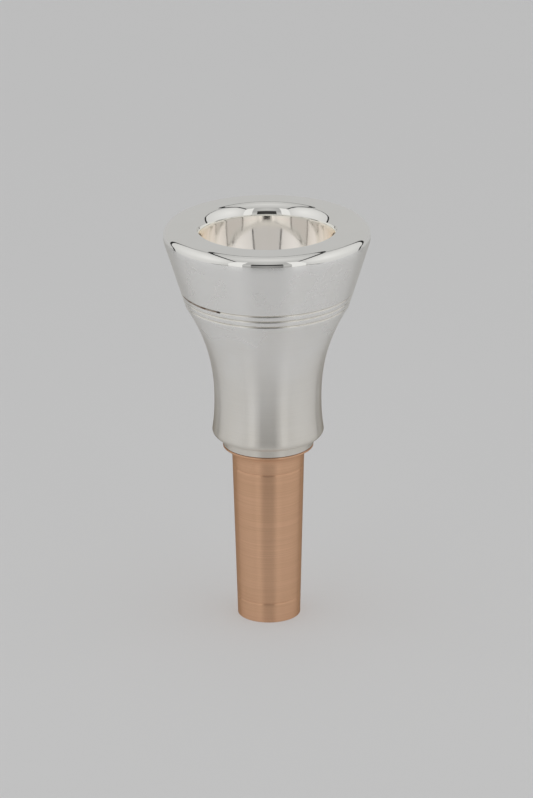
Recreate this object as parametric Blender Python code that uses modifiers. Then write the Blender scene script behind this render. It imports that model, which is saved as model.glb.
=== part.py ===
"""Two-piece brass mouthpiece: a plated cup that screws onto a bronze shank, with a rubber ring between them.

Metres, +Z up along the bore. The origin is the centre of the shank's tip, which the mouthpiece stands on.
"""

import math

import bmesh
import bpy

MM = 0.001

# Shank: the tapered tube that goes into the instrument
TIP_DIAMETER = 12.1 * MM
SHANK_LENGTH = 35.0 * MM            # tip to the flange's top face
SHANK_TAPER = 0.0265                # radius gained per length
TIP_WALL = 0.85 * MM
TIP_CHAMFER = 0.15 * MM
FLANGE_EDGE = 0.35 * MM             # height of the flange's outer edge
FILLET_HEIGHT = 2.2 * MM            # hollow sweep from the shank out to the flange
LINE_DEPTH = 0.10 * MM              # fine turned lines round the shank
LINE_WIDTH = 0.34 * MM
LOWER_LINE_HEIGHT = 3.8 * MM        # above the tip
UPPER_LINE_DROP = 4.4 * MM          # below the flange's top face

# Screw joint between shank and cup
THREAD_PITCH = 1.25 * MM
SPIGOT_WALL = 1.95 * MM             # bore to the thread's core
THREAD_DEPTH = 0.45 * MM
THREAD_LENGTH = 7.6 * MM            # plain core that carries the thread
THREAD_CLEARANCE = 0.12 * MM        # between the spigot's core and the socket's bore
GROOVE_MARGIN = 0.05 * MM           # extra depth of the female thread
THREAD_ROOT = 0.06 * MM             # how far the ridge is let into the surface that it stands on
THREAD_ENDS = (1.5, 1.2)            # plain core below and above the ridge, in thread depths
GROOVE_ENDS = (1.0, 0.75)           # how far the female thread runs out of the socket's bore, in pitches
FADE_TURN = 1 / 3                   # part of a turn in which the ridge swells up and dies away
FADE_SINK = 1.2                     # how far its ends sink, in ridge depths
FADE_SIZE = 0.4                     # its section at the ends
NOSE_LENGTH = 1.6 * MM              # plain pilot above the thread
NOSE_STEP = 0.45 * MM               # how much the pilot is below the thread's core
RELIEF_LENGTH = 1.7 * MM            # run-out room at the top of the socket
RELIEF_STEP = 0.15 * MM             # how far the run-out is outside the female thread
PARTING_GAP = 0.30 * MM             # between faces that meet when screwed home

# Rubber ring at the foot of the spigot
RING_SECTION = 1.2 * MM
RING_GAP = 0.30 * MM                # round the ring on all sides
GLAND_LIP = 0.35 * MM               # collar of the spigot under the ring
SEAL_ROOM = 0.80 * MM               # counterbore's radius over the thread's crest

# Cup: rim, bowl and outer body
CUP_HEIGHT = 43.9 * MM              # collar's bottom face to the rim's top
BORE_DIAMETER = 24.8 * MM           # inside the rim, at the bite
LIP_RADIUS = 3.0 * MM               # soft rounding from the bite upwards
LIP_CREST_RADIUS = 1.6 * MM         # tighter rounding from there to the flat
LIP_CHANGE = 45.0                   # degrees from level where one rounding takes over from the other
RIM_FLAT_WIDTH = 3.45 * MM          # flat ring on top
RIM_CREST_RADIUS = 1.9 * MM         # outer edge's rounding, next to the flat
RIM_EDGE_RADIUS = 0.95 * MM          # its tightest stretch
RIM_BREAST_RADIUS = 4.0 * MM        # its easing into the cone
EDGE_CHANGES = (62.0, 82.0)         # degrees from level where the outer roundings change
CONE_SLOPE = 0.31                   # radius lost per height below the rim
FLARE_DROP = 15.5 * MM              # rim's top down to where the cone ends
WAIST_RISE = 9.1 * MM               # collar's bottom face up to the waist
WAIST_DIAMETER = 20.5 * MM
FLARE_POWER = 2.2                   # how late the flare opens out
SHOULDER_DIAMETER = 21.4 * MM
SHOULDER_RISE = 2.9 * MM            # collar's bottom face up to the shoulder's widest point
COLLAR_HEIGHT = 1.5 * MM
COLLAR_WALL = 1.9 * MM
THROAT_DIAMETER = 7.2 * MM
THROAT_LENGTH = 2.8 * MM            # straight bore above the socket
BOWL_HEEL = (0.614, 0.462)          # lower handle: part of the way out to the bite, part of the depth
BOWL_WALL = (0.952, 0.701)          # upper handle: part of the bite's radius, part of the depth
BAND_DROP = 12.5 * MM               # rim's top down to the first turned groove
BAND_SPACING = 1.2 * MM
BAND_COUNT = 3
BAND_WIDTH = 0.46 * MM
BAND_DEPTH = 0.20 * MM

# Facets
TURN_STEPS = 48
THREAD_STEPS = 24                   # points in each turn of the thread
RING_STEPS = 10                     # facets round the rubber ring's section
ARC_STEPS = 6
EDGE_STEPS = 3                      # facets in each rounding of the rim
CURVE_STEPS = 10
MERGE = 0.00001

# Heights and radii that follow from the sizes above
COLLAR_BOTTOM = SHANK_LENGTH + PARTING_GAP
RIM_TOP = COLLAR_BOTTOM + CUP_HEIGHT
THROAT_RADIUS = THROAT_DIAMETER / 2
THREAD_CORE_RADIUS = THROAT_RADIUS + SPIGOT_WALL
SPIGOT_CREST = THREAD_CORE_RADIUS + THREAD_DEPTH
SOCKET_RADIUS = THREAD_CORE_RADIUS + THREAD_CLEARANCE
SOCKET_CREST = SOCKET_RADIUS + THREAD_DEPTH + GROOVE_MARGIN
SEAL_RADIUS = SPIGOT_CREST + SEAL_ROOM
RING_RADIUS = SEAL_RADIUS - RING_GAP - RING_SECTION / 2
GLAND_RADIUS = RING_RADIUS - RING_SECTION / 2 - RING_GAP
GLAND_BOTTOM = SHANK_LENGTH + GLAND_LIP
GLAND_TOP = GLAND_BOTTOM + RING_SECTION + 2 * RING_GAP
RING_HEIGHT = (GLAND_BOTTOM + GLAND_TOP) / 2
THREAD_TOP = GLAND_TOP + THREAD_LENGTH
NOSE_TOP = THREAD_TOP + NOSE_LENGTH
SOCKET_TOP = NOSE_TOP + PARTING_GAP
RELIEF_BOTTOM = SOCKET_TOP - RELIEF_LENGTH
SEAL_TOP = GLAND_TOP + THREAD_CLEARANCE
FLANGE_RADIUS = SEAL_RADIUS + COLLAR_WALL
FLANGE_UNDERSIDE = SHANK_LENGTH - FLANGE_EDGE
THROAT_TOP = SOCKET_TOP + THROAT_LENGTH
BITE_RADIUS = BORE_DIAMETER / 2
LIP_TURN = math.radians(LIP_CHANGE)
LIP_RUN = LIP_RADIUS * (1 - math.sin(LIP_TURN)) + LIP_CREST_RADIUS * math.sin(LIP_TURN)
FLAT_INNER = BITE_RADIUS + LIP_RUN
FLAT_OUTER = FLAT_INNER + RIM_FLAT_WIDTH
WAIST_HEIGHT = COLLAR_BOTTOM + WAIST_RISE
FLARE_TOP = RIM_TOP - FLARE_DROP
SHOULDER_HEIGHT = COLLAR_BOTTOM + SHOULDER_RISE


def shank_radius(height):
    """Outer radius of the plain taper at a height above the tip."""
    return TIP_DIAMETER / 2 + SHANK_TAPER * height


def arc(centre, radii, start, end, steps=ARC_STEPS):
    """Points (radius, height) on an ellipse round centre, from one angle to another in degrees."""
    points = []
    for i in range(steps + 1):
        angle = math.radians(start + (end - start) * i / steps)
        points.append((centre[0] + radii[0] * math.cos(angle), centre[1] + radii[1] * math.sin(angle)))
    return points


def bezier(start, lead, trail, end, steps=CURVE_STEPS):
    """Points on a cubic curve, with both ends."""
    points = []
    for i in range(steps + 1):
        t = i / steps
        weights = ((1 - t) ** 3, 3 * t * (1 - t) ** 2, 3 * t * t * (1 - t), t ** 3)
        corners = (start, lead, trail, end)
        points.append(tuple(sum(w * c[axis] for w, c in zip(weights, corners)) for axis in (0, 1)))
    return points


def tangent_arcs(start, arcs, side):
    """Points down a convex edge: each arc is (radius, first tilt, last tilt), in degrees from level."""
    points = [start]
    for radius, first, last in arcs:
        edge = points[-1]
        for i in range(1, EDGE_STEPS + 1):
            tilt = math.radians(first + (last - first) * i / EDGE_STEPS)
            out = radius * (math.sin(tilt) - math.sin(math.radians(first)))
            down = radius * (math.cos(math.radians(first)) - math.cos(tilt))
            points.append((edge[0] + side * out, edge[1] - down))
    return points


def turned_line(height, width, depth, radius_at):
    """A V cut round the outside, from its upper edge to its lower edge."""
    above, below = height + width / 2, height - width / 2
    return [(radius_at(above), above), (radius_at(height) - depth, height), (radius_at(below), below)]


def rim_profile():
    """Flat top and rounded outer edge, from the flat's inner edge down to the cone."""
    first_change, second_change = EDGE_CHANGES
    arcs = (
        (RIM_CREST_RADIUS, 0.0, first_change),
        (RIM_EDGE_RADIUS, first_change, second_change),
        (RIM_BREAST_RADIUS, second_change, 90.0 + math.degrees(math.atan(CONE_SLOPE))),
    )
    return [(FLAT_INNER, RIM_TOP)] + tangent_arcs((FLAT_OUTER, RIM_TOP), arcs, 1)


def cone_radius(height):
    """Outer radius of the straight cone under the rim."""
    edge, edge_height = rim_profile()[-1]
    return edge - CONE_SLOPE * (edge_height - height)


def flare_radius(height):
    """Outer radius of the body, which narrows to a waist and swells again to the shoulder."""
    waist = WAIST_DIAMETER / 2
    if height >= WAIST_HEIGHT:
        gain, reach = cone_radius(FLARE_TOP) - waist, FLARE_TOP - WAIST_HEIGHT
    else:
        gain, reach = SHOULDER_DIAMETER / 2 - waist, WAIST_HEIGHT - SHOULDER_HEIGHT
    return waist + gain * (abs(height - WAIST_HEIGHT) / reach) ** FLARE_POWER


def body_profile():
    """Cone, turned grooves, flare and shoulder, down to the collar."""
    points = []
    for i in range(BAND_COUNT):
        points += turned_line(RIM_TOP - BAND_DROP - i * BAND_SPACING, BAND_WIDTH, BAND_DEPTH, cone_radius)
    for i in range(CURVE_STEPS + 1):
        height = FLARE_TOP + (SHOULDER_HEIGHT - FLARE_TOP) * i / CURVE_STEPS
        points.append((flare_radius(height), height))
    collar_top = COLLAR_BOTTOM + COLLAR_HEIGHT
    step = (SHOULDER_DIAMETER / 2 - FLANGE_RADIUS, SHOULDER_HEIGHT - collar_top)
    points += arc((FLANGE_RADIUS, SHOULDER_HEIGHT), step, 0, -90)[1:]
    return points + [(FLANGE_RADIUS, COLLAR_BOTTOM)]


def socket_profile():
    """Seal counterbore, plain bore for the thread, run-out and throat, going up."""
    return [
        (SEAL_RADIUS, COLLAR_BOTTOM),
        (SEAL_RADIUS, SEAL_TOP),
        (SOCKET_RADIUS, SEAL_TOP),
        (SOCKET_RADIUS, RELIEF_BOTTOM),
        (SOCKET_CREST + RELIEF_STEP, RELIEF_BOTTOM),
        (SOCKET_CREST + RELIEF_STEP, SOCKET_TOP),
        (THROAT_RADIUS, SOCKET_TOP),
    ]


def bowl_profile():
    """Bowl from the throat up to the bite, then the rounded inner edge of the rim."""
    arcs = ((LIP_CREST_RADIUS, 0.0, LIP_CHANGE), (LIP_RADIUS, LIP_CHANGE, 90.0))
    lip = tangent_arcs((FLAT_INNER, RIM_TOP), arcs, -1)
    bite = lip[-1]
    depth = bite[1] - THROAT_TOP
    heel = (
        THROAT_RADIUS + (BITE_RADIUS - THROAT_RADIUS) * BOWL_HEEL[0],
        THROAT_TOP + depth * BOWL_HEEL[1],
    )
    wall = (BITE_RADIUS * BOWL_WALL[0], THROAT_TOP + depth * BOWL_WALL[1])
    bowl = bezier((THROAT_RADIUS, THROAT_TOP), heel, wall, bite)
    return bowl + lip[-2:0:-1]


def shank_profile():
    """Spigot, flange, taper and backbore of the shank, going down its outside and up its bore."""
    nose = THREAD_CORE_RADIUS - NOSE_STEP
    core = THREAD_CORE_RADIUS
    points = [
        (nose, NOSE_TOP),
        (nose, THREAD_TOP + NOSE_STEP),
        (core, THREAD_TOP),
        (core, GLAND_TOP),
        (GLAND_RADIUS, GLAND_TOP),
        (GLAND_RADIUS, GLAND_BOTTOM),
        (core, GLAND_BOTTOM),
        (core, SHANK_LENGTH),
        (FLANGE_RADIUS, SHANK_LENGTH),
    ]
    fillet_bottom = FLANGE_UNDERSIDE - FILLET_HEIGHT
    run = FLANGE_RADIUS - shank_radius(fillet_bottom)
    points += arc((FLANGE_RADIUS, fillet_bottom), (run, FILLET_HEIGHT), 90, 180)
    for height in (SHANK_LENGTH - UPPER_LINE_DROP, LOWER_LINE_HEIGHT):
        points += turned_line(height, LINE_WIDTH, LINE_DEPTH, shank_radius)
    backbore = TIP_DIAMETER / 2 - TIP_WALL
    points += [
        (shank_radius(TIP_CHAMFER), TIP_CHAMFER),
        (TIP_DIAMETER / 2 - TIP_CHAMFER, 0.0),
        (backbore, 0.0),
        (THROAT_RADIUS, NOSE_TOP),
    ]
    return points


def material(name, colour, metallic, roughness):
    """One Principled BSDF material."""
    finish = bpy.data.materials.new(name)
    finish.use_nodes = True
    shader = finish.node_tree.nodes["Principled BSDF"]
    shader.inputs["Base Color"].default_value = (*colour, 1.0)
    shader.inputs["Metallic"].default_value = metallic
    shader.inputs["Roughness"].default_value = roughness
    finish.diffuse_color = (*colour, 1.0)
    return finish


def turned(name, profile, collection):
    """A lathe-turned solid: a closed profile of (radius, height) points spun round Z."""
    mesh = bpy.data.meshes.new(name)
    corners = [(radius, 0.0, height) for radius, height in profile]
    edges = [(i, (i + 1) % len(corners)) for i in range(len(corners))]
    mesh.from_pydata(corners, edges, [])
    piece = bpy.data.objects.new(name, mesh)
    collection.objects.link(piece)
    spin = piece.modifiers.new("Turn", "SCREW")
    spin.axis = "Z"
    spin.steps = TURN_STEPS
    spin.render_steps = TURN_STEPS
    spin.use_merge_vertices = True
    spin.merge_threshold = MERGE
    spin.use_smooth_shade = True
    return piece


def thread_ridge(name, surface, height_above, bottom, top, collection):
    """A right-handed helical ridge with a V section, whose ends fade into the surface it stands on."""
    radius = surface - THREAD_ROOT
    depth = height_above + THREAD_ROOT
    count = math.ceil((top - bottom) / THREAD_PITCH * THREAD_STEPS)
    curve = bpy.data.curves.new(name, "CURVE")
    curve.dimensions = "3D"
    curve.twist_mode = "Z_UP"
    curve.bevel_depth = depth
    curve.bevel_resolution = 0
    curve.use_fill_caps = True
    line = curve.splines.new("POLY")
    line.points.add(count)
    fade = round(THREAD_STEPS * FADE_TURN)
    for i, point in enumerate(line.points):
        height = bottom + THREAD_PITCH * i / THREAD_STEPS
        angle = 2 * math.pi * height / THREAD_PITCH
        swell = min(1.0, (i + 1) / fade, (count - i + 1) / fade)
        sunk = depth * FADE_SINK * (1 - swell)
        point.co = ((radius - sunk) * math.cos(angle), (radius - sunk) * math.sin(angle), height, 1.0)
        point.radius = FADE_SIZE + (1 - FADE_SIZE) * swell
    guide = bpy.data.objects.new(name + "_curve", curve)
    collection.objects.link(guide)
    depsgraph = bpy.context.evaluated_depsgraph_get()
    mesh = bpy.data.meshes.new_from_object(guide.evaluated_get(depsgraph))
    shape = bmesh.new()
    shape.from_mesh(mesh)
    bmesh.ops.remove_doubles(shape, verts=shape.verts, dist=MERGE)
    bmesh.ops.recalc_face_normals(shape, faces=shape.faces)
    shape.to_mesh(mesh)
    shape.free()
    ridge = bpy.data.objects.new(name, mesh)
    ridge.matrix_world = guide.matrix_world
    collection.objects.link(ridge)
    bpy.data.objects.remove(guide)
    ridge.hide_render = True
    ridge.display_type = "WIRE"
    return ridge


def combine(piece, tool, operation):
    """Joins or cuts a piece with a tool."""
    boolean = piece.modifiers.new(operation.title(), "BOOLEAN")
    boolean.operation = operation
    boolean.solver = "EXACT"
    boolean.object = tool


def build_shank(parts, cutters):
    """Bronze shank with the male thread on its spigot."""
    shank = turned("shank", shank_profile(), parts)
    shank.data.materials.append(material("bronze", (0.62, 0.38, 0.24), 1.0, 0.28))
    start = GLAND_TOP + THREAD_DEPTH * THREAD_ENDS[0]
    end = THREAD_TOP - THREAD_DEPTH * THREAD_ENDS[1]
    ridge = thread_ridge("spigot_thread", THREAD_CORE_RADIUS, THREAD_DEPTH, start, end, cutters)
    combine(shank, ridge, "UNION")


def build_cup(parts, cutters):
    """Silver-plated cup with the female thread in its socket."""
    profile = rim_profile() + body_profile() + socket_profile() + bowl_profile()
    cup = turned("cup", profile, parts)
    cup.data.materials.append(material("silver_plate", (0.80, 0.79, 0.76), 1.0, 0.16))
    start = SEAL_TOP - THREAD_PITCH * GROOVE_ENDS[0]
    end = RELIEF_BOTTOM + THREAD_PITCH * GROOVE_ENDS[1]
    depth = THREAD_DEPTH + GROOVE_MARGIN
    groove = thread_ridge("socket_thread", SOCKET_RADIUS, depth, start, end, cutters)
    combine(cup, groove, "DIFFERENCE")


def build_seal_ring(parts):
    """Rubber ring in the gland at the foot of the spigot."""
    bpy.ops.mesh.primitive_torus_add(
        major_radius=RING_RADIUS,
        minor_radius=RING_SECTION / 2,
        major_segments=TURN_STEPS,
        minor_segments=RING_STEPS,
        location=(0.0, 0.0, RING_HEIGHT),
    )
    ring = bpy.context.object
    ring.name = "seal_ring"
    ring.data.name = "seal_ring"
    ring.data.materials.append(material("rubber", (0.02, 0.02, 0.02), 0.0, 0.6))
    ring.data.shade_smooth()
    for owner in list(ring.users_collection):
        owner.objects.unlink(ring)
    parts.objects.link(ring)


def main():
    for thing in list(bpy.data.objects):
        bpy.data.objects.remove(thing)
    parts = bpy.data.collections.new("brass_mouthpiece")
    cutters = bpy.data.collections.new("cutters")
    bpy.context.scene.collection.children.link(parts)
    bpy.context.scene.collection.children.link(cutters)
    build_shank(parts, cutters)
    build_cup(parts, cutters)
    build_seal_ring(parts)


main()
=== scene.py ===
"""Brass mouthpiece in two screwed pieces, with its finishes, on a pale studio floor.

A silver-plated cup, a bare bronze shank and the rubber ring between them are each modelled over the
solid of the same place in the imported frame, and ride on its bodies. Metres, +Z up along the bore.
"""

import math

import bpy
from bpy.props import FloatProperty, FloatVectorProperty, IntProperty, PointerProperty
from bpy.types import Operator, Panel, PropertyGroup
from mathutils import Matrix, Vector


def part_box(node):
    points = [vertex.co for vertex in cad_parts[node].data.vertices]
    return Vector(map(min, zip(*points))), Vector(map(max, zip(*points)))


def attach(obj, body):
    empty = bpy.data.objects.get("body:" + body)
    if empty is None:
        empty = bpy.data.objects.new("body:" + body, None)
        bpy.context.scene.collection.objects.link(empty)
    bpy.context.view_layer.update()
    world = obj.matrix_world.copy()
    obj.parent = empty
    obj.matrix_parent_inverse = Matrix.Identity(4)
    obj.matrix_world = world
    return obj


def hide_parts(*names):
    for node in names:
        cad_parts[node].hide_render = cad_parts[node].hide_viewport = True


bl_info = {
    "name": "Two-piece brass mouthpiece",
    "version": (1, 0, 0),
    "blender": (4, 5, 0),
    "location": "3D View > Sidebar > Mouthpiece",
    "description": "Builds a screwed two-piece mouthpiece with turned and polished finishes",
    "category": "Object",
}

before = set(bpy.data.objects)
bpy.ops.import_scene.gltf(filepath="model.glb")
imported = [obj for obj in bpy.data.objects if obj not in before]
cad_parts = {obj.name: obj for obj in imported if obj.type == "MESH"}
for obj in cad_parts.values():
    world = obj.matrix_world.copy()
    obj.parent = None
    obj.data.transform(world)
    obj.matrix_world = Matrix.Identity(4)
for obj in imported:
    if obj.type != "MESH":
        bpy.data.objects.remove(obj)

MM = 0.001
MERGE = 0.001 * MM

CUP_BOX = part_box("cup")
SHANK_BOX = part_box("shank")
RING_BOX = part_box("seal_ring")
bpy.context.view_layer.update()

# The turned outside
CONE_SLOPE = 0.31                   # radius lost per height below the rim
FLARE_POWER = 2.2                   # how late the flare opens out
SHANK_TAPER = 0.0265                # radius gained per length
BOWL_HEEL = (0.614, 0.462)          # lower handle: part of the way out to the bite, part of the depth
BOWL_WALL = (0.952, 0.701)          # upper handle: part of the bite's radius, part of the depth
LINE_LEAN = 0.36                    # a pointed tool leaves a wide lower flank, which catches the light
POLISH_LAP = 0.2                    # how far the mirror polish runs past the rim's crest, in its radii

# The screw joint, which has to run clear on both pieces
THREAD_PITCH = 1.25 * MM
THREAD_DEPTH = 0.45 * MM
THREAD_ROOT = 0.06 * MM             # how far the ridge is let into the surface that it stands on
THREAD_CLEARANCE = 0.12 * MM
THREAD_ENDS = (1.5, 1.2)            # plain core below and above the ridge, in thread depths
GROOVE_MARGIN = 0.05 * MM           # extra depth of the female thread
GROOVE_ENDS = (1.0, 0.75)           # how far the female thread runs out of the bore, in pitches
FADE_TURN = 1 / 3                   # part of a turn over which a ridge's ends fade out
FADE_SINK = 1.2                     # how far the ridge's ends sink, in ridge depths
SPIGOT_WALL = 1.95 * MM
SEAL_ROOM = 0.80 * MM
RING_GAP = 0.30 * MM
PARTING_GAP = 0.30 * MM
CLOSED_GAP = 0.12 * MM              # hairline seen between the screwed-down cup and the flange
RELIEF_LENGTH = 1.7 * MM
RELIEF_STEP = 0.15 * MM
NOSE_LENGTH = 1.6 * MM
NOSE_STEP = 0.45 * MM

# Facets
TURN_STEPS = 288
THREAD_STEPS = 96                   # points in each turn of the thread
SECTION_CORNERS = 4
ARC_STEPS = 12
CURVE_STEPS = 40
CORNER_STEPS = 3
RING_STEPS = 144
RING_SECTION_STEPS = 32
CORNER_TURN = math.radians(20)      # a corner that turns more than this gets a broken edge
CORNER_REACH = 0.45                 # largest share of a straight run that a broken edge takes
SHARP_TURN = math.radians(30)       # a corner that turns more than this stays crisp in the shading
LEVEL_FACE = 0.5                    # a face is no wall when its normal has more height than this

# Finishes
DIMMING_SPAN = (36 * MM, 62 * MM)   # from darkest and warmest at the bottom to full colour, up the body
STAIN_STRETCH = (1.0, 1.0, 7.0)     # keeps the dark stain to the top groove
STAIN_PLACE = Vector((-13.6, -9.3, 66.9)) * Vector(STAIN_STRETCH) * MM
STAIN_REACH = (5.6 * MM, 6.8 * MM)  # from its middle to where the stain starts to fade, and ends
NICK_PLACE = (-9.2 * MM, -13.6 * MM, 66.6 * MM)
NICK_REACH = (0.3 * MM, 0.5 * MM)

# The stage, with each cloth's brightness
FLOOR_SIZE = 24.0
FLOOR_GAP = 0.02 * MM               # keeps the sheet clear of the shank's tip
CEILING_GLOW = 0.68
WALL_GLOW = 0.80
FLANK_GLOW = 0.56
SLOT_GLOW = 0.05
UNDER_GLOW = 0.30
SEAM_GLOW = 0.03
BACKDROP_GLOW = 0.52
EDGE_FADE = 0.66                    # brightness at a cloth's corners, against its middle
BACK_NARROWING = 0.38               # ceiling's width at its back end, against its width over the part
TOE_IN = 0.185                      # how fast the side walls close in towards the back
SLOT_HALF_ANGLE = math.radians(17)  # camera's opening, to each side of straight ahead
PANEL_ANGLE = math.radians(26)      # where the bright front panels start
BACK_SEAM = 90.0 * MM               # open joint behind the ceiling
EDGE_SEAM = 20.0 * MM               # dark hem on the side walls' back edge
FOOT_SHADE_STRIP = 6.0 * MM                # dark strip under the side walls: painted shade where wall meets floor
SLOT_FOOT = 92.0 * MM
SLOT_TOP = 240.0 * MM
SENSOR_WIDTH = 36.0                 # millimetres, as the lens is
MIRROR_BOUNCES = 16


def linear(code):
    """An sRGB hex colour as the linear numbers that shaders take."""
    levels = [int(code[i:i + 2], 16) / 255 for i in (1, 3, 5)]
    curve = [c / 12.92 if c <= 0.04045 else ((c + 0.055) / 1.055) ** 2.4 for c in levels]
    return (*curve, 1.0)


def length(name, description, default, **limits):
    """A size in metres."""
    return FloatProperty(
        name=name, description=description, default=default, unit="LENGTH", subtype="DISTANCE",
        precision=5, **limits
    )


def degrees(name, description, default):
    """An angle, given in degrees."""
    return FloatProperty(
        name=name, description=description, default=math.radians(default), subtype="ANGLE"
    )


def number(name, description, default, **limits):
    """A plain number."""
    return FloatProperty(name=name, description=description, default=default, **limits)


def colour(name, description, code):
    """A colour that is picked in the panel."""
    return FloatVectorProperty(
        name=name, description=description, default=linear(code)[:3], subtype="COLOR", min=0.0, max=1.0
    )


class CupSizes(PropertyGroup):
    """Sizes of the silver-plated cup."""

    bore: length("Bore", "Diameter inside the rim, at the bite", 24.8 * MM)
    lip_radius: length("Lip radius", "Soft rounding from the bite upwards", 3.0 * MM)
    lip_crest: length("Lip crest", "Tighter rounding from there to the flat", 1.6 * MM)
    lip_change: degrees("Lip change", "Tilt where one rounding takes over from the other", 45.0)
    rim_flat: length("Rim flat", "Width of the flat ring on top of the rim", 3.45 * MM)
    rim_crest: length("Rim crest", "Rounding of the outer edge next to the flat", 1.9 * MM)
    rim_edge: length("Rim edge", "Tightest stretch of the outer edge", 0.95 * MM)
    rim_breast: length("Rim breast", "Easing of the outer edge into the cone", 4.0 * MM)
    crest_end: degrees("Crest end", "Tilt where the crest turns into the edge", 62.0)
    edge_end: degrees("Edge end", "Tilt where the edge turns into the breast", 82.0)
    flare_drop: length("Flare drop", "Rim's top down to where the straight cone ends", 15.5 * MM)
    waist: length("Waist", "Diameter of the body where it is narrowest", 20.5 * MM)
    waist_rise: length("Waist rise", "Collar's bottom face up to the waist", 9.1 * MM)
    shoulder: length("Shoulder", "Diameter of the body's foot", 21.4 * MM)
    shoulder_rise: length("Shoulder rise", "Collar's bottom face up to the shoulder", 2.9 * MM)
    collar_height: length("Collar height", "Height of the collar under the shoulder", 1.5 * MM)
    throat: length("Throat", "Diameter of the bore under the bowl", 7.2 * MM)
    throat_length: length("Throat length", "Straight bore above the socket", 2.8 * MM)
    band_drop: length("Band drop", "Rim's top down to the first turned groove", 12.5 * MM)
    band_spacing: length("Band spacing", "Distance from groove to groove", 1.2 * MM)
    band_width: length("Band width", "Width of each groove", 0.46 * MM)
    band_depth: length("Band depth", "Depth of each groove", 0.20 * MM)
    band_count: IntProperty(name="Bands", description="Turned grooves below the rim", default=3, min=0)
    edge_break: length("Edge break", "Rounding left on turned corners", 0.05 * MM)


class ShankSizes(PropertyGroup):
    """Sizes of the bronze shank."""

    tip_wall: length("Tip wall", "Thickness of the tube at its tip", 0.85 * MM)
    tip: length("Tip", "Diameter of the tip", 12.1 * MM)
    fillet_height: length("Fillet height", "Hollow sweep from the tube out to the flange", 2.2 * MM)
    flange_edge: length("Flange edge", "Height of the flange's outer edge", 0.35 * MM)
    line_width: length("Line width", "Width of the fine turned lines", 0.44 * MM)
    line_depth: length("Line depth", "Depth of the fine turned lines", 0.15 * MM)
    lower_line: length("Lower line", "Height of the lower turned line above the tip", 3.8 * MM)
    upper_line: length("Upper line", "Drop of the upper turned line below the flange", 4.4 * MM)
    edge_break: length("Edge break", "Rounding left on turned corners", 0.06 * MM)


class Finishes(PropertyGroup):
    """Colours and grain of the metals and the rubber."""

    silver: colour("Silver", "Plating, polished and satin", "#FCFBF7")
    tarnish: colour("Tarnish", "Stain left in the turned grooves", "#7A6452")
    bronze: colour("Bronze", "Bare turned bronze", "#F4C5A1")
    rubber: colour("Rubber", "Sealing ring", "#1C1D1F")
    turning: length("Turning marks", "Distance from one turning mark to the next", 0.16 * MM)


class StageSizes(PropertyGroup):
    """Camera, floor and lights."""

    distance: length("Camera distance", "Camera in front of the bore's axis", 914.7 * MM)
    height: length("Camera height", "Camera above the floor", 392.35 * MM)
    shift: length("Camera offset", "Camera beside the bore's axis", -0.27 * MM)
    pitch: degrees("Pitch", "Camera's tilt below the horizon", 20.847)
    roll: degrees("Roll", "Camera's turn about its own axis", -0.337)
    lens: number("Lens", "Focal length in millimetres", 230.3, unit="CAMERA")
    floor: colour("Floor", "Milk-white sheet under the part", "#BCBCBC")
    floor_glow: number("Floor glow", "Light that comes through the sheet", 0.245)
    tent_half: length("Tent half width", "Bore's axis to a side wall of the tent", 212.0 * MM)
    tent_top: length("Tent height", "Ceiling of the tent above the floor", 480.0 * MM)
    tent_front: length("Tent front", "Bore's axis to the tent's front", 300.0 * MM)
    tent_back: length("Tent back", "Bore's axis to the end of the ceiling", 430.0 * MM)
    wall_foot_back: length("Wall foot back", "Axis to the side walls' back edge, at the floor", 90.0 * MM)
    wall_top_back: length("Wall top back", "Axis to the side walls' back edge, at the top", 250.0 * MM)
    seam: length("Seam", "Width of the tent's dark seams", 18.0 * MM)


# ---------------------------------------------------------------- profiles

def arc(centre, radii, start, end, steps=ARC_STEPS):
    """Points (radius, height) on an ellipse round centre, from one angle to another in degrees."""
    points = []
    for i in range(steps + 1):
        angle = math.radians(start + (end - start) * i / steps)
        points.append((centre[0] + radii[0] * math.cos(angle), centre[1] + radii[1] * math.sin(angle)))
    return points


def bezier(start, lead, trail, end, steps=CURVE_STEPS):
    """Points on a cubic curve, with both ends."""
    points = []
    for i in range(steps + 1):
        t = i / steps
        weights = ((1 - t) ** 3, 3 * t * (1 - t) ** 2, 3 * t * t * (1 - t), t ** 3)
        corners = (start, lead, trail, end)
        points.append(tuple(sum(w * c[axis] for w, c in zip(weights, corners)) for axis in (0, 1)))
    return points


def softened(points, size):
    """The same closed line with every sharp corner rounded off by a small curve."""
    result = []
    count = len(points)
    for i, here in enumerate(points):
        before, after = Vector(points[i - 1]), Vector(points[(i + 1) % count])
        corner = Vector(here)
        back, forth = before - corner, after - corner
        shorter = min(back.length, forth.length)
        if shorter < MERGE or math.pi - back.angle(forth) < CORNER_TURN:
            result.append(here)
            continue
        reach = min(size, shorter * CORNER_REACH)
        a, b = corner + back.normalized() * reach, corner + forth.normalized() * reach
        for k in range(CORNER_STEPS + 1):
            t = k / CORNER_STEPS
            result.append(tuple(a * (1 - t) ** 2 + corner * 2 * t * (1 - t) + b * t * t))
    return result


def tangent_arcs(start, arcs, side):
    """Points down a convex edge: each arc is (radius, first tilt, last tilt), measured from level."""
    points = [start]
    for radius, first, last in arcs:
        edge = points[-1]
        for i in range(1, ARC_STEPS + 1):
            tilt = first + (last - first) * i / ARC_STEPS
            out = radius * (math.sin(tilt) - math.sin(first))
            down = radius * (math.cos(first) - math.cos(tilt))
            points.append((edge[0] + side * out, edge[1] - down))
    return points


def turned_line(height, width, depth, radius_at, lean=0.0):
    """A V cut round the outside, from its upper edge to its lower edge; lean moves its root upward."""
    above, below, root = height + width / 2, height - width / 2, height + lean * width
    return [(radius_at(above), above), (radius_at(root) - depth, root), (radius_at(below), below)]


# ---------------------------------------------------------------- modelling

def clear_selection():
    """Leaves nothing selected, so that the next operator acts on its own piece only."""
    bpy.ops.object.select_all(action="DESELECT")


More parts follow.
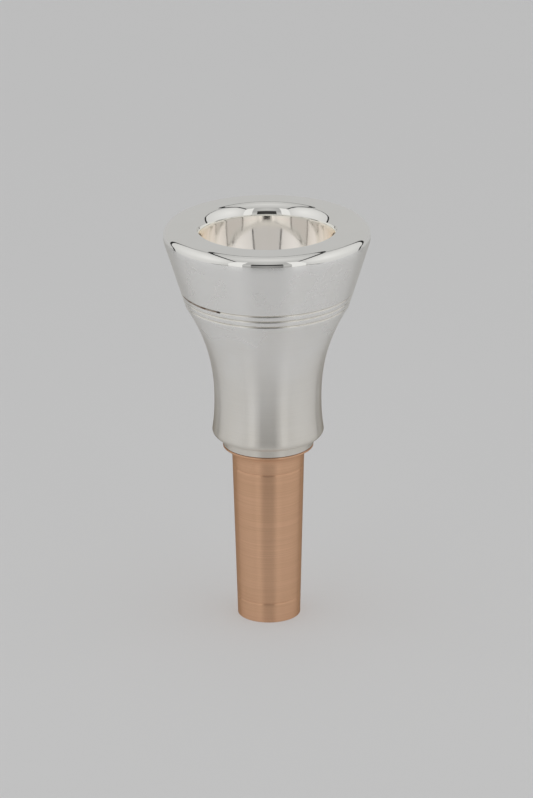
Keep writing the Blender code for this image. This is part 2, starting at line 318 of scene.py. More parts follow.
def pick(piece):
    """Makes one piece the selected and active one."""
    clear_selection()
    piece.select_set(True)
    bpy.context.view_layer.objects.active = piece


def apply_modifier(piece, kind, **settings):
    """Adds a modifier with its settings and applies it."""
    pick(piece)
    modifier = piece.modifiers.new(kind.title(), kind)
    for key, value in settings.items():
        setattr(modifier, key, value)
    bpy.ops.object.modifier_apply(modifier=modifier.name)


def turned_piece(name, profile):
    """A lathe-turned solid: one vertex is extruded round the closed profile, which is then spun."""
    clear_selection()
    bpy.ops.mesh.primitive_plane_add(size=MM, location=(profile[0][0], 0.0, profile[0][1]))
    piece = bpy.context.object
    piece.name = name
    piece.data.name = name
    bpy.ops.object.transform_apply(location=True, rotation=False, scale=False)
    bpy.ops.object.mode_set(mode="EDIT")
    bpy.ops.mesh.merge(type="CENTER")
    path = profile[1:] + profile[:1]
    for here, there in zip(profile, path):
        step = (there[0] - here[0], 0.0, there[1] - here[1])
        bpy.ops.mesh.extrude_region_move(TRANSFORM_OT_translate={"value": step})
    bpy.ops.mesh.select_all(action="SELECT")
    bpy.ops.mesh.remove_doubles(threshold=MERGE)
    bpy.ops.mesh.spin(steps=TURN_STEPS, angle=2 * math.pi, center=(0, 0, 0), axis=(0, 0, 1))
    bpy.ops.mesh.select_all(action="SELECT")
    bpy.ops.mesh.remove_doubles(threshold=MERGE)
    bpy.ops.mesh.normals_make_consistent(inside=False)
    bpy.ops.object.mode_set(mode="OBJECT")
    return piece


def thread_ridge(name, surface, height_above, bottom, top):
    """A right-handed V ridge: a diamond section screwed upwards, whose ends sink into the surface."""
    radius, depth = surface - THREAD_ROOT, height_above + THREAD_ROOT
    angle = 2 * math.pi * bottom / THREAD_PITCH
    clear_selection()
    bpy.ops.mesh.primitive_circle_add(
        vertices=SECTION_CORNERS,
        radius=depth,
        location=(radius * math.cos(angle), radius * math.sin(angle), bottom),
        rotation=(math.pi / 2, 0.0, angle),
    )
    ridge = bpy.context.object
    ridge.name = name
    bpy.ops.object.transform_apply(location=True, rotation=True, scale=True)
    turns = (top - bottom) / THREAD_PITCH
    steps = math.ceil(turns * THREAD_STEPS)
    apply_modifier(
        ridge, "SCREW", axis="Z", angle=2 * math.pi * turns, screw_offset=top - bottom,
        steps=steps, render_steps=steps,
    )
    fade = int(THREAD_STEPS * FADE_TURN)
    rings = len(ridge.data.vertices) // SECTION_CORNERS
    for vertex in ridge.data.vertices:
        ring = vertex.index // SECTION_CORNERS
        swell = min(1.0, (ring + 1) / fade, (rings - ring) / fade)
        around = Vector((vertex.co.x, vertex.co.y, 0.0))
        vertex.co -= around.normalized() * depth * FADE_SINK * (1 - swell)
    bpy.ops.object.mode_set(mode="EDIT")
    bpy.ops.mesh.select_all(action="SELECT")
    bpy.ops.mesh.fill_holes(sides=SECTION_CORNERS)
    bpy.ops.mesh.normals_make_consistent(inside=False)
    bpy.ops.object.mode_set(mode="OBJECT")
    return ridge


def combine(piece, tool, operation):
    """Joins or cuts a piece with a tool, which is then used up."""
    apply_modifier(piece, "BOOLEAN", operation=operation, solver="EXACT", object=tool)
    bpy.data.objects.remove(tool)


def finish_piece(piece, body, node):
    """Smooth shading between sharp corners, and the piece's place on the frame."""
    pick(piece)
    bpy.ops.object.shade_smooth_by_angle(angle=SHARP_TURN)
    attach(piece, body)
    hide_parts(node)


# ---------------------------------------------------------------- materials

def add_node(tree, kind, inputs=None, **settings):
    """Adds one node with its settings, and sets or links its inputs."""
    node = tree.nodes.new(kind)
    for key, value in settings.items():
        setattr(node, key, value)
    for key, value in (inputs or {}).items():
        if isinstance(value, bpy.types.NodeSocket):
            tree.links.new(value, node.inputs[key])
        else:
            node.inputs[key].default_value = value
    return node


def new_material(name):
    """An empty material with its Principled shader."""
    finish = bpy.data.materials.new(name)
    finish.use_nodes = True
    return finish, finish.node_tree, finish.node_tree.nodes["Principled BSDF"]


def new_metal(name):
    """An empty material whose shader is a metal's."""
    finish, tree, shader = new_material(name)
    shader.inputs["Metallic"].default_value = 1.0
    return finish, tree, shader


def object_place(tree):
    """The point being coloured, in the piece's own coordinates."""
    return add_node(tree, "ShaderNodeTexCoord").outputs["Object"]


def ring_noise(tree, spacing, sweep, detail=2.0):
    """Noise drawn out into rings round Z: one line per spacing, each fading out after sweep."""
    axes = add_node(tree, "ShaderNodeSeparateXYZ", {0: object_place(tree)})
    flat = add_node(tree, "ShaderNodeCombineXYZ", {"X": axes.outputs["X"], "Y": axes.outputs["Y"]})
    radius = add_node(tree, "ShaderNodeVectorMath", {0: flat.outputs[0]}, operation="LENGTH")
    along = [
        add_node(tree, "ShaderNodeMath", {0: axes.outputs[axis], 1: 1 / sweep}, operation="MULTIPLY")
        for axis in ("X", "Y")
    ]
    across = [
        add_node(tree, "ShaderNodeMath", {0: source, 1: 1 / spacing}, operation="MULTIPLY")
        for source in (radius.outputs["Value"], axes.outputs["Z"])
    ]
    vector = add_node(
        tree, "ShaderNodeCombineXYZ",
        {"X": along[0].outputs[0], "Y": along[1].outputs[0], "Z": across[0].outputs[0]},
    )
    noise = add_node(
        tree, "ShaderNodeTexNoise",
        {"Vector": vector.outputs[0], "W": across[1].outputs[0], "Scale": 1.0, "Detail": detail},
        noise_dimensions="4D",
    )
    return noise.outputs["Fac"]


def cloud_noise(tree, size, detail=3.0):
    """Soft patches of about the given size."""
    settings = {"Vector": object_place(tree), "Scale": 1 / size, "Detail": detail}
    return add_node(tree, "ShaderNodeTexNoise", settings).outputs["Fac"]


def distance_from(tree, place, spot):
    """How far a place is from a fixed spot."""
    away = add_node(tree, "ShaderNodeVectorMath", {0: place, 1: spot}, operation="DISTANCE")
    return away.outputs["Value"]


def spread(tree, source, low, high, span=(0.3, 0.7)):
    """Stretches a pattern from its usual span to low..high."""
    return add_node(
        tree, "ShaderNodeMapRange",
        {"Value": source, "From Min": span[0], "From Max": span[1], "To Min": low, "To Max": high},
    ).outputs["Result"]


def tinted(tree, factor, first, second):
    """Mixes two colours by a pattern."""
    mix = add_node(tree, "ShaderNodeMix", {"Factor": factor}, data_type="RGBA")
    mix.inputs["A"].default_value = first
    mix.inputs["B"].default_value = second
    return mix.outputs["Result"]


def scored(tree, base, marks, strength, shade):
    """A colour with a darker shade multiplied into it along the turning marks."""
    mix = add_node(
        tree, "ShaderNodeMix",
        {"Factor": spread(tree, marks, 0.0, strength)}, data_type="RGBA", blend_type="MULTIPLY",
    )
    tree.links.new(base, mix.inputs["A"])
    mix.inputs["B"].default_value = shade
    return mix.outputs["Result"]


def bumped(tree, height, distance):
    """A bump whose pattern stands up by the given distance."""
    settings = {"Height": height, "Distance": distance, "Strength": 1.0}
    return add_node(tree, "ShaderNodeBump", settings).outputs["Normal"]


def shaded(colour_now, factor):
    """A colour made darker or warmer, channel by channel, as a shader colour."""
    return (*[min(1.0, c * f) for c, f in zip(colour_now, factor)], 1.0)


def polished_silver():
    """Silver plate buffed to a mirror: it takes the whole studio's picture, with a faint buffing haze."""
    finishes = bpy.context.scene.finishes
    finish, tree, shader = new_metal("polished_silver_plate")
    haze = cloud_noise(tree, 6 * MM)
    colour_now = tinted(
        tree, spread(tree, haze, 0.0, 1.0),
        shaded(finishes.silver, (1, 1, 1)), shaded(finishes.silver, (0.985, 0.985, 0.98)),
    )
    tree.links.new(colour_now, shader.inputs["Base Color"])
    tree.links.new(spread(tree, haze, 0.02, 0.045), shader.inputs["Roughness"])
    marks = ring_noise(tree, 0.3 * MM, 8 * MM)
    tree.links.new(bumped(tree, marks, 0.0002 * MM), shader.inputs["Normal"])
    return finish


def buffed_silver():
    """Silver plate in the bowl, buffed less and handled more: a mirror gone a little soft and warm."""
    finishes = bpy.context.scene.finishes
    finish, tree, shader = new_metal("buffed_silver_plate")
    haze = cloud_noise(tree, 5 * MM)
    colour_now = tinted(
        tree, spread(tree, haze, 0.0, 1.0),
        shaded(finishes.silver, (1.02, 1.0, 1.005)), shaded(finishes.silver, (1.01, 0.99, 0.985)),
    )
    tree.links.new(colour_now, shader.inputs["Base Color"])
    tree.links.new(spread(tree, haze, 0.05, 0.09), shader.inputs["Roughness"])
    marks = ring_noise(tree, 0.4 * MM, 9 * MM)
    tree.links.new(bumped(tree, marks, 0.0004 * MM), shader.inputs["Normal"])
    return finish


def circular_grain(tree, shader, amount):
    """Turning marks spread the light along the bore, not round it."""
    tangent = add_node(tree, "ShaderNodeTangent", direction_type="RADIAL", axis="Z")
    tree.links.new(tangent.outputs[0], shader.inputs["Tangent"])
    shader.inputs["Anisotropic"].default_value = amount
    shader.inputs["Anisotropic Rotation"].default_value = 0.25


def satin_silver():
    """Silver plate over a finely turned body: a soft sheen in bands, duller and warmer lower down."""
    finishes = bpy.context.scene.finishes
    finish, tree, shader = new_metal("satin_silver_plate")
    marks = ring_noise(tree, finishes.turning, 20 * MM)
    height = add_node(tree, "ShaderNodeSeparateXYZ", {0: object_place(tree)}).outputs["Z"]
    clouds = spread(tree, cloud_noise(tree, 9 * MM), -0.15, 0.15)
    # colour and grazing reflections turn darker and warmer towards the bottom of the body, with soft
    # patches
    dimmed = spread(tree, height, 1.0, 0.0, DIMMING_SPAN)
    patchy = add_node(
        tree, "ShaderNodeMath", {0: dimmed, 1: clouds}, operation="ADD", use_clamp=True
    ).outputs[0]
    warm = tinted(
        tree, patchy,
        shaded(finishes.silver, (1.03, 1.03, 1.05)), shaded(finishes.silver, (0.95, 0.92, 0.88)),
    )
    lined = scored(tree, warm, marks, 0.03, linear("#8C8880"))
    tree.links.new(lined, shader.inputs["Base Color"])
    sheen = tinted(tree, patchy, linear("#E0DEDA"), linear("#8E867A"))
    tree.links.new(sheen, shader.inputs["Specular Tint"])
    tree.links.new(spread(tree, patchy, 0.27, 0.36, (0.0, 1.0)), shader.inputs["Roughness"])
    tree.links.new(bumped(tree, marks, 0.0003 * MM), shader.inputs["Normal"])
    circular_grain(tree, shader, 1.0)
    return finish


def groove_silver():
    """Silver plate in the cut grooves: tarnish stays there as a brown line, darkest at one side."""
    finishes = bpy.context.scene.finishes
    finish, tree, shader = new_metal("tarnished_groove_silver")
    place = object_place(tree)
    stretched = add_node(
        tree, "ShaderNodeVectorMath", {0: place, 1: STAIN_STRETCH}, operation="MULTIPLY"
    ).outputs[0]
    spot = spread(tree, distance_from(tree, stretched, STAIN_PLACE), 1.0, 0.16, STAIN_REACH)
    blotches = spread(tree, cloud_noise(tree, 1.6 * MM, 4.0), 0.7, 1.0, (0.4, 0.6))
    stain = add_node(tree, "ShaderNodeMath", {0: spot, 1: blotches}, operation="MULTIPLY").outputs[0]
    colour_now = tinted(
        tree, stain, shaded(finishes.silver, (0.95, 0.94, 0.91)), (*finishes.tarnish, 1.0)
    )
    nick = spread(tree, distance_from(tree, place, NICK_PLACE), 1.0, 0.0, NICK_REACH)
    marked = add_node(tree, "ShaderNodeMix", {"Factor": nick}, data_type="RGBA")
    tree.links.new(colour_now, marked.inputs["A"])
    marked.inputs["B"].default_value = linear("#4A3E35")
    tree.links.new(marked.outputs["Result"], shader.inputs["Base Color"])
    tree.links.new(spread(tree, stain, 0.22, 0.4, (0.0, 1.0)), shader.inputs["Roughness"])
    return finish


def turned_bronze():
    """Bare bronze straight from the lathe: a satin sheen, fine rings, and streaks of brighter cut."""
    finishes = bpy.context.scene.finishes
    finish, tree, shader = new_metal("turned_bronze")
    marks = ring_noise(tree, finishes.turning, 14 * MM, 3.0)
    streaks = ring_noise(tree, 2.2 * MM, 22 * MM, 3.0)
    patches = cloud_noise(tree, 8 * MM)
    base = tinted(
        tree, spread(tree, streaks, 0.0, 1.0),
        shaded(finishes.bronze, (0.97, 0.97, 0.96)), shaded(finishes.bronze, (1.02, 1.03, 1.05)),
    )
    lined = scored(tree, base, marks, 0.14, linear("#A07C62"))
    tree.links.new(lined, shader.inputs["Base Color"])
    tree.links.new(spread(tree, patches, 0.32, 0.37), shader.inputs["Roughness"])
    tree.links.new(bumped(tree, marks, 0.0008 * MM), shader.inputs["Normal"])
    shader.inputs["Specular Tint"].default_value = linear("#B4ACA2")
    circular_grain(tree, shader, 1.0)
    return finish


def machined_bronze():
    """Bright bronze inside and on the thread, where nothing has dulled it."""
    finishes = bpy.context.scene.finishes
    finish, tree, shader = new_metal("machined_bronze")
    marks = ring_noise(tree, finishes.turning, 6 * MM)
    colour_now = tinted(
        tree, spread(tree, marks, 0.0, 1.0),
        shaded(finishes.bronze, (1.0, 1.02, 1.0)), shaded(finishes.bronze, (0.92, 0.90, 0.88)),
    )
    tree.links.new(colour_now, shader.inputs["Base Color"])
    tree.links.new(spread(tree, marks, 0.16, 0.26), shader.inputs["Roughness"])
    tree.links.new(bumped(tree, marks, 0.002 * MM), shader.inputs["Normal"])
    return finish


def moulded_rubber():
    """Moulded nitrile rubber: nearly black and dull, with a trace of grease sheen."""
    finishes = bpy.context.scene.finishes
    finish, tree, shader = new_material("moulded_rubber")
    specks = cloud_noise(tree, 0.4 * MM)
    colour_now = tinted(
        tree, spread(tree, specks, 0.0, 1.0), (*finishes.rubber, 1.0), linear("#2A2B2D")
    )
    tree.links.new(colour_now, shader.inputs["Base Color"])
    tree.links.new(spread(tree, cloud_noise(tree, 3 * MM), 0.42, 0.6), shader.inputs["Roughness"])
    tree.links.new(bumped(tree, specks, 0.004 * MM), shader.inputs["Normal"])
    return finish


# ---------------------------------------------------------------- pieces

class MOUTHPIECE_OT_cup(Operator):
    """Turn the silver-plated cup, with its socket thread, grooves, bowl and rim"""

    bl_idname = "mouthpiece.cup"
    bl_label = "Cup"

    def execute(self, context):
        sizes = context.scene.cup_sizes
        low, high = CUP_BOX
        self.foot, self.top = low.z, high.z
        piece = turned_piece("cup_shell", softened(self.profile(sizes), sizes.edge_break))
        start = self.seal_top - THREAD_PITCH * GROOVE_ENDS[0]
        end = self.relief_bottom + THREAD_PITCH * GROOVE_ENDS[1]
        groove = thread_ridge("socket_cutter", self.socket, THREAD_DEPTH + GROOVE_MARGIN, start, end)
        combine(piece, groove, "DIFFERENCE")
        self.paint(piece, sizes)
        finish_piece(piece, "cup", "cup")
        return {"FINISHED"}

    def cone(self, height):
        """Outer radius of the straight cone under the rim."""
        return self.edge[0] - CONE_SLOPE * (self.edge[1] - height)

    def flare(self, sizes, height):
        """Outer radius of the body, which narrows to a waist and swells again to the shoulder."""
        waist, waist_height = sizes.waist / 2, self.foot + sizes.waist_rise
        flare_top, shoulder_height = self.top - sizes.flare_drop, self.foot + sizes.shoulder_rise
        if height >= waist_height:
            gain, reach = self.cone(flare_top) - waist, flare_top - waist_height
        else:
            gain, reach = sizes.shoulder / 2 - waist, waist_height - shoulder_height
        return waist + gain * (abs(height - waist_height) / reach) ** FLARE_POWER

    def profile(self, sizes):
        """The whole section: rim, outside going down, socket going up, and the bowl back to the rim."""
        flange = SHANK_BOX[1].x
        bite = sizes.bore / 2
        turn = math.sin(sizes.lip_change)
        flat_inner = bite + sizes.lip_radius * (1 - turn) + sizes.lip_crest * turn
        outer_arcs = (
            (sizes.rim_crest, 0.0, sizes.crest_end),
            (sizes.rim_edge, sizes.crest_end, sizes.edge_end),
            (sizes.rim_breast, sizes.edge_end, math.pi / 2 + math.atan(CONE_SLOPE)),
        )
        points = [(flat_inner, self.top)]
        points += tangent_arcs((flat_inner + sizes.rim_flat, self.top), outer_arcs, 1)
        self.edge = points[-1]
        self.polish_foot = points[1 + 2 * ARC_STEPS][1] - sizes.rim_crest * POLISH_LAP
        for i in range(sizes.band_count):
            drop = sizes.band_drop + i * sizes.band_spacing
            points += turned_line(self.top - drop, sizes.band_width, sizes.band_depth, self.cone)
        flare_top, shoulder_height = self.top - sizes.flare_drop, self.foot + sizes.shoulder_rise
        for i in range(CURVE_STEPS + 1):
            height = flare_top + (shoulder_height - flare_top) * i / CURVE_STEPS
            points.append((self.flare(sizes, height), height))
        collar_top = self.foot + sizes.collar_height
        step = (sizes.shoulder / 2 - flange, shoulder_height - collar_top)
        points += arc((flange, shoulder_height), step, 0, -90)[1:]
        points.append((flange, self.foot))
        points += self.socket_points(sizes)
        throat = sizes.throat / 2
        lip_arcs = (
            (sizes.lip_crest, 0.0, sizes.lip_change),
            (sizes.lip_radius, sizes.lip_change, math.pi / 2),
        )
        lip = tangent_arcs((flat_inner, self.top), lip_arcs, -1)
        self.bite_height = lip[-1][1]
        depth = self.bite_height - self.throat_top
        heel = (throat + (bite - throat) * BOWL_HEEL[0], self.throat_top + depth * BOWL_HEEL[1])
        wall = (bite * BOWL_WALL[0], self.throat_top + depth * BOWL_WALL[1])
        points += bezier((throat, self.throat_top), heel, wall, lip[-1])
        return points + lip[-2:0:-1]

    def socket_points(self, sizes):
        """Seal counterbore, thread bore and run-out, which clear the shank's spigot all round."""
        spigot = SHANK_BOX[1].z
        core = sizes.throat / 2 + SPIGOT_WALL
        self.socket = core + THREAD_CLEARANCE
        crest = self.socket + THREAD_DEPTH + GROOVE_MARGIN
        seal = core + THREAD_DEPTH + SEAL_ROOM
        self.seal_top = RING_BOX[1].z + RING_GAP + THREAD_CLEARANCE
        socket_top = spigot + PARTING_GAP
        self.relief_bottom = socket_top - RELIEF_LENGTH
        self.throat_top = socket_top + sizes.throat_length
        return [
            (seal, self.foot),
            (seal, self.seal_top),
            (self.socket, self.seal_top),
            (self.socket, self.relief_bottom),
            (crest + RELIEF_STEP, self.relief_bottom),
            (crest + RELIEF_STEP, socket_top),
            (sizes.throat / 2, socket_top),
        ]

    def paint(self, piece, sizes):
        """Polished rim and bowl, stained grooves, and satin everywhere else."""
        for finish in (satin_silver(), polished_silver(), groove_silver(), buffed_silver()):
            piece.data.materials.append(finish)
        bands = [self.top - sizes.band_drop - i * sizes.band_spacing for i in range(sizes.band_count)]
        bore_foot = self.throat_top - sizes.throat_length
        for face in piece.data.polygons:
            radius, height = math.hypot(face.center.x, face.center.y), face.center.z
            inward = face.normal.x * face.center.x + face.normal.y * face.center.y < 0
            outside = radius > self.cone(height) - 2 * sizes.band_depth
            if height > self.polish_foot:
                face.material_index = 1
            elif outside and any(abs(height - band) < sizes.band_width / 2 for band in bands):
                face.material_index = 2
            elif inward and height > bore_foot and not outside:
                face.material_index = 1 if height > self.bite_height else 3


class MOUTHPIECE_OT_shank(Operator):
    """Turn the bronze shank, with its threaded spigot, flange, taper and backbore"""

    bl_idname = "mouthpiece.shank"
    bl_label = "Shank"

    def execute(self, context):
        sizes = context.scene.shank_sizes
        piece = turned_piece("shank_tube", softened(self.profile(sizes), sizes.edge_break))
        start = self.gland_top + THREAD_DEPTH * THREAD_ENDS[0]
        end = self.thread_top - THREAD_DEPTH * THREAD_ENDS[1]
        ridge = thread_ridge("spigot_ridge", self.core, THREAD_DEPTH, start, end)
        combine(piece, ridge, "UNION")
        self.paint(piece)
        finish_piece(piece, "shank", "shank")
        return {"FINISHED"}

    def profile(self, sizes):
        """Spigot, flange, taper and backbore, going down the outside and up the bore."""
        throat = bpy.context.scene.cup_sizes.throat / 2
        spigot_top = SHANK_BOX[1].z
        self.flange_top = CUP_BOX[0].z - CLOSED_GAP
        self.thread_top = spigot_top - NOSE_LENGTH
        gland_bottom, self.gland_top = RING_BOX[0].z - RING_GAP, RING_BOX[1].z + RING_GAP
        self.core = throat + SPIGOT_WALL
        gland = (RING_BOX[1].x - (RING_BOX[1].z - RING_BOX[0].z)) - RING_GAP
        flange = SHANK_BOX[1].x
        points = [
            (self.core - NOSE_STEP, spigot_top),
            (self.core - NOSE_STEP, self.thread_top + NOSE_STEP),
            (self.core, self.thread_top),
            (self.core, self.gland_top),
            (gland, self.gland_top),
            (gland, gland_bottom),
            (self.core, gland_bottom),
            (self.core, self.flange_top),
            (flange, self.flange_top),
        ]
        fillet_bottom = self.flange_top - sizes.flange_edge - sizes.fillet_height
        run = flange - self.taper(sizes, fillet_bottom)
        points += arc((flange, fillet_bottom), (run, sizes.fillet_height), 90, 180)
        for height in (self.flange_top - sizes.upper_line, sizes.lower_line):
            points += turned_line(
                height, sizes.line_width, sizes.line_depth,
                lambda level: self.taper(sizes, level), LINE_LEAN,
            )
        tip = [(self.taper(sizes, 0.0), 0.0), (sizes.tip / 2 - sizes.tip_wall, 0.0)]
        return points + tip + [(throat, spigot_top)]

    def taper(self, sizes, height):
        """Outer radius of the plain taper at a height above the tip."""
        return sizes.tip / 2 + SHANK_TAPER * height

    def paint(self, piece):
        """Satin outside below the flange's face, bright machined metal above it and in the bore."""
        for finish in (turned_bronze(), machined_bronze()):
            piece.data.materials.append(finish)
        for face in piece.data.polygons:
            inward = face.normal.x * face.center.x + face.normal.y * face.center.y < 0
            if face.center.z > self.flange_top - MERGE or (inward and abs(face.normal.z) < LEVEL_FACE):
                face.material_index = 1


class MOUTHPIECE_OT_seal(Operator):
    """Mould the rubber ring in the gland between shank and cup"""

    bl_idname = "mouthpiece.seal"
    bl_label = "Seal ring"

    def execute(self, context):
        low, high = RING_BOX
        section = high.z - low.z
        clear_selection()
        bpy.ops.mesh.primitive_torus_add(
            major_radius=high.x - section / 2,
            minor_radius=section / 2,
            major_segments=RING_STEPS,
            minor_segments=RING_SECTION_STEPS,
            location=(0.0, 0.0, (low.z + high.z) / 2),
        )
        piece = bpy.context.object
        piece.name = "rubber_ring"
        bpy.ops.object.transform_apply(location=True, rotation=False, scale=False)
        piece.data.materials.append(moulded_rubber())
        finish_piece(piece, "seal", "seal_ring")
        return {"FINISHED"}


# ---------------------------------------------------------------- stage

def upright(start, end, low, high):
    """Corners of a standing cloth over a line on the floor."""
    return [(*start, low), (*end, low), (*end, high), (*start, high)]


class MOUTHPIECE_OT_stage(Operator):
    """Lay the floor, hang the light tent and place the camera"""

    bl_idname = "mouthpiece.stage"
    bl_label = "Stage"

    def execute(self, context):
        sizes = context.scene.stage_sizes
        self.lay_floor(sizes)
        self.hang_tent(sizes)
        self.set_world(context)
        self.place_camera(context, sizes)
        context.scene.view_settings.view_transform = "Standard"
        return {"FINISHED"}

    def lay_floor(self, sizes):
        """Milk-white sheet with a little light coming through, which keeps the part's shadow faint."""
        clear_selection()
        bpy.ops.mesh.primitive_plane_add(size=FLOOR_SIZE)
        floor = bpy.context.object
        floor.name = "floor"
        floor.location.z = -FLOOR_GAP
        finish, tree, shader = new_material("milk_white_acrylic_sheet")
        tooth = cloud_noise(tree, 0.6 * MM)
        tone = tinted(
            tree, cloud_noise(tree, 80 * MM),
            shaded(sizes.floor, (1, 1, 1)), shaded(sizes.floor, (0.985, 0.985, 0.985)),
        )
        tree.links.new(tone, shader.inputs["Base Color"])
        tree.links.new(spread(tree, tooth, 0.75, 0.85), shader.inputs["Roughness"])
        shader.inputs["Specular IOR Level"].default_value = 0.2
        shader.inputs["Emission Color"].default_value = (1.0, 1.0, 1.0, 1.0)
        shader.inputs["Emission Strength"].default_value = sizes.floor_glow
        floor.data.materials.append(finish)

    def hang_tent(self, sizes):
        """Glowing cloths round the part, with the dark opening that the camera looks through."""
        cloths = [*self.roof_cloths(sizes), *self.front_cloths(sizes)]
        for side, name in ((-1, "left"), (1, "right")):
            cloths += [(f"{name}_{part}", *rest) for part, *rest in self.side_cloths(sizes, side)]
        for name, corners, brightness in cloths:
            fade = 1.0 if name.endswith("_front") else EDGE_FADE
            self.cloth(name, corners, brightness, fade)

    def roof_cloths(self, sizes):
        """The ceiling, which narrows behind the part and ends at an open joint."""
        top, seam = sizes.tent_top, sizes.seam
        front, back = -sizes.tent_front, self.back_edge(sizes, top)
        corners = ((-1, front), (1, front), (1, back), (-1, back))
        roof = [self.on_wall(sizes, side, across, top, seam) for side, across in corners]
        far = self.ceiling_end(sizes)
        beyond = self.ceiling_end(sizes, BACK_SEAM)
        return [
            ("ceiling", roof, CEILING_GLOW),
            ("ceiling_back", [roof[3], roof[2], *far], CEILING_GLOW),
            ("back_seam", [far[1], far[0], *beyond], SEAM_GLOW),
        ]

    def front_cloths(self, sizes):
        """The dark slot in front of the camera, and the cloths under and over it."""
        front = -sizes.tent_front
        slot, panel = self.front_widths(sizes)
        return [
            ("slot", upright((-slot, front), (slot, front), SLOT_FOOT, SLOT_TOP), SLOT_GLOW),
            ("under_slot", upright((-slot, front), (slot, front), 0.0, SLOT_FOOT), UNDER_GLOW),
            ("over_slot", upright((-panel, front), (panel, front), SLOT_TOP, sizes.tent_top), FLANK_GLOW),
        ]

    def side_cloths(self, sizes, side):
        """One side wall with its dark hems and joints, a dark strip of painted shade at its foot, and the
        front cloths between it and the slot.
        """
        top, seam = sizes.tent_top, sizes.seam
        front, back = -sizes.tent_front, self.back_edge(sizes, top)
        slot, panel = self.front_widths(sizes)
        roof_side = [self.on_wall(sizes, side, across, top) for across in (front, back)]
        inner = [self.on_wall(sizes, side, across, top, seam) for across in (back, front)]
        corner = self.ceiling_end(sizes)[side < 0]
        tail = self.ceiling_end(sizes, BACK_SEAM)[side < 0]
        outer = self.on_wall(sizes, side, back + EDGE_SEAM, top)
        steps = ((0.0, 0.0), (0.0, EDGE_SEAM), (top, EDGE_SEAM), (top, 0.0))
        edge = [self.on_wall(sizes, side, self.back_edge(sizes, z) + step, z) for z, step in steps]
        wall_end = self.on_wall(sizes, side, front, 0.0)[:2]
        flank_ends = ((side * slot, front), (side * panel, front))
        return [
            ("wall", self.wall_strip(sizes, side, FOOT_SHADE_STRIP, top - seam), WALL_GLOW),
            # dark strip at the wall's foot: painted shade where the wall meets the floor
            ("foot_seam", self.wall_strip(sizes, side, 0.0, FOOT_SHADE_STRIP), SEAM_GLOW),
            ("top_seam", self.wall_strip(sizes, side, top - seam, top), SEAM_GLOW),
            ("roof_seam", roof_side + inner, SEAM_GLOW),
            ("far_seam", [inner[0], corner, tail, outer], SEAM_GLOW),
            ("edge", edge, SEAM_GLOW),
            ("front", upright(flank_ends[1], wall_end, 0.0, top), WALL_GLOW),
            ("flank", upright(*flank_ends, 0.0, SLOT_TOP), FLANK_GLOW),
        ]

    def front_widths(self, sizes):
        """Half widths of the camera's slot, and of the slot with its flanks."""
        return [sizes.tent_front * math.tan(angle) for angle in (SLOT_HALF_ANGLE, PANEL_ANGLE)]

    def on_wall(self, sizes, side, across, up, inset=0.0):
        """A place on a side wall, which closes in towards the back."""
        return side * (sizes.tent_half - TOE_IN * across - inset), across, up

    def wall_strip(self, sizes, side, low, high):
        """Corners of a level strip of side wall, from its front to its slanting back edge."""
        front = -sizes.tent_front
        places = (
            (front, low), (self.back_edge(sizes, low), low),
            (self.back_edge(sizes, high), high), (front, high),
        )
        return [self.on_wall(sizes, side, across, up) for across, up in places]

    def ceiling_end(self, sizes, beyond=0.0):
        """The ceiling's two back corners, right one first, or the ones beyond its back seam."""
        reach = sizes.tent_half * BACK_NARROWING
        return [(side * reach, sizes.tent_back + beyond, sizes.tent_top) for side in (1, -1)]

    def back_edge(self, sizes, height):
        """How far back a side wall reaches, which is further at the top than at the floor."""
        slant = (sizes.wall_top_back - sizes.wall_foot_back) / sizes.tent_top
        return sizes.wall_foot_back + slant * height

    def cloth(self, name, corners, brightness, fade):
        """One flat four-cornered cloth, brightest in the middle, which the camera doesn't see."""
        centre = sum((Vector(c) for c in corners), Vector()) / 4
        reach = max((Vector(c) - centre).length for c in corners)
        clear_selection()
        bpy.ops.mesh.primitive_plane_add(size=1.0)
        cloth = bpy.context.object
        cloth.name = name
        for vertex, corner in zip((0, 1, 3, 2), corners):
            cloth.data.vertices[vertex].co = corner
        cloth.visible_camera = False
        finish, tree, shader = new_material("glowing_cloth_" + name)
        shader.inputs["Base Color"].default_value = (0.0, 0.0, 0.0, 1.0)
        shader.inputs["Specular IOR Level"].default_value = 0.0
        away = distance_from(tree, object_place(tree), centre)
        glow = spread(tree, away, brightness, brightness * fade, (0.0, reach))
        tree.links.new(glow, shader.inputs["Emission Strength"])
        shader.inputs["Emission Color"].default_value = (1.0, 1.0, 1.0, 1.0)
        cloth.data.materials.append(finish)

    def set_world(self, context):
        """Even grey all round, as from a pale backdrop."""
        world = bpy.data.worlds.new("studio")
        world.use_nodes = True
        backdrop = world.node_tree.nodes["Background"]
        backdrop.inputs["Color"].default_value = (BACKDROP_GLOW, BACKDROP_GLOW, BACKDROP_GLOW, 1.0)
        context.scene.world = world
        context.scene.cycles.max_bounces = MIRROR_BOUNCES
        context.scene.cycles.glossy_bounces = MIRROR_BOUNCES

    def place_camera(self, context, sizes):
        """A long lens in front of the part, looking down on it."""
        data = bpy.data.cameras.new("camera")
        data.lens = sizes.lens
        data.sensor_width = SENSOR_WIDTH
        camera = bpy.data.objects.new("camera", data)
        context.scene.collection.objects.link(camera)
        place = Matrix.Translation((sizes.shift, -sizes.distance, sizes.height))
        tilt = Matrix.Rotation(math.pi / 2 - sizes.pitch, 4, "X")
        camera.matrix_world = place @ tilt @ Matrix.Rotation(sizes.roll, 4, "Z")
        context.scene.camera = camera


class MOUTHPIECE_PT_sidebar(Panel):
    """Sizes, finishes and building steps of the mouthpiece."""

    bl_label = "Mouthpiece"
    bl_idname = "MOUTHPIECE_PT_sidebar"
    bl_space_type = "VIEW_3D"
    bl_region_type = "UI"
    bl_category = "Mouthpiece"

    def draw(self, context):
        layout = self.layout
        for operator in OPERATORS:
            layout.operator(operator.bl_idname)
        for group in GROUPS:
            box = layout.box()
            values = getattr(context.scene, group)
            for name in values.bl_rna.properties.keys():
                if name not in ("rna_type", "name"):
                    box.prop(values, name)


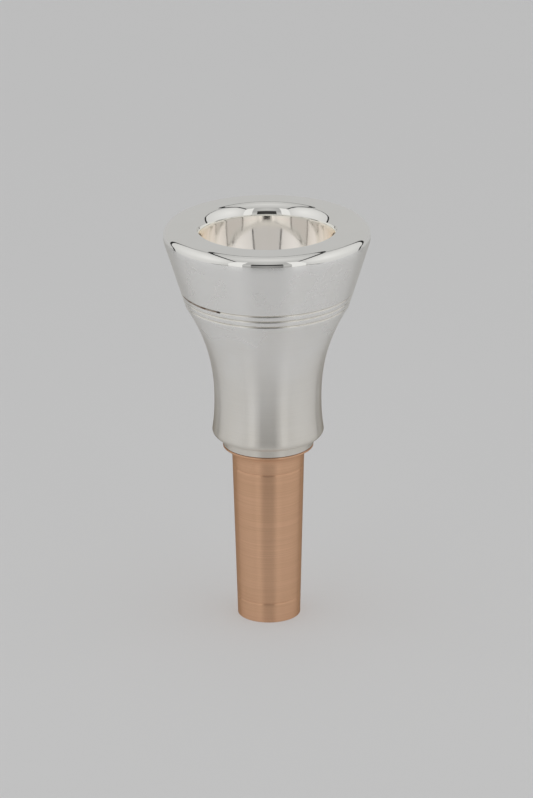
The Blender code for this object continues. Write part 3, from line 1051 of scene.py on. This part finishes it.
OPERATORS = (MOUTHPIECE_OT_cup, MOUTHPIECE_OT_shank, MOUTHPIECE_OT_seal, MOUTHPIECE_OT_stage)
GROUPS = {
    "cup_sizes": CupSizes,
    "shank_sizes": ShankSizes,
    "finishes": Finishes,
    "stage_sizes": StageSizes,
}


def register():
    for group in (*GROUPS.values(), *OPERATORS, MOUTHPIECE_PT_sidebar):
        bpy.utils.register_class(group)
    for name, group in GROUPS.items():
        setattr(bpy.types.Scene, name, PointerProperty(type=group))


def unregister():
    for name in GROUPS:
        delattr(bpy.types.Scene, name)
    for group in reversed((*GROUPS.values(), *OPERATORS, MOUTHPIECE_PT_sidebar)):
        bpy.utils.unregister_class(group)


def main():
    register()
    bpy.ops.mouthpiece.cup()
    bpy.ops.mouthpiece.shank()
    bpy.ops.mouthpiece.seal()
    bpy.ops.mouthpiece.stage()


if __name__ == "__main__":
    main()
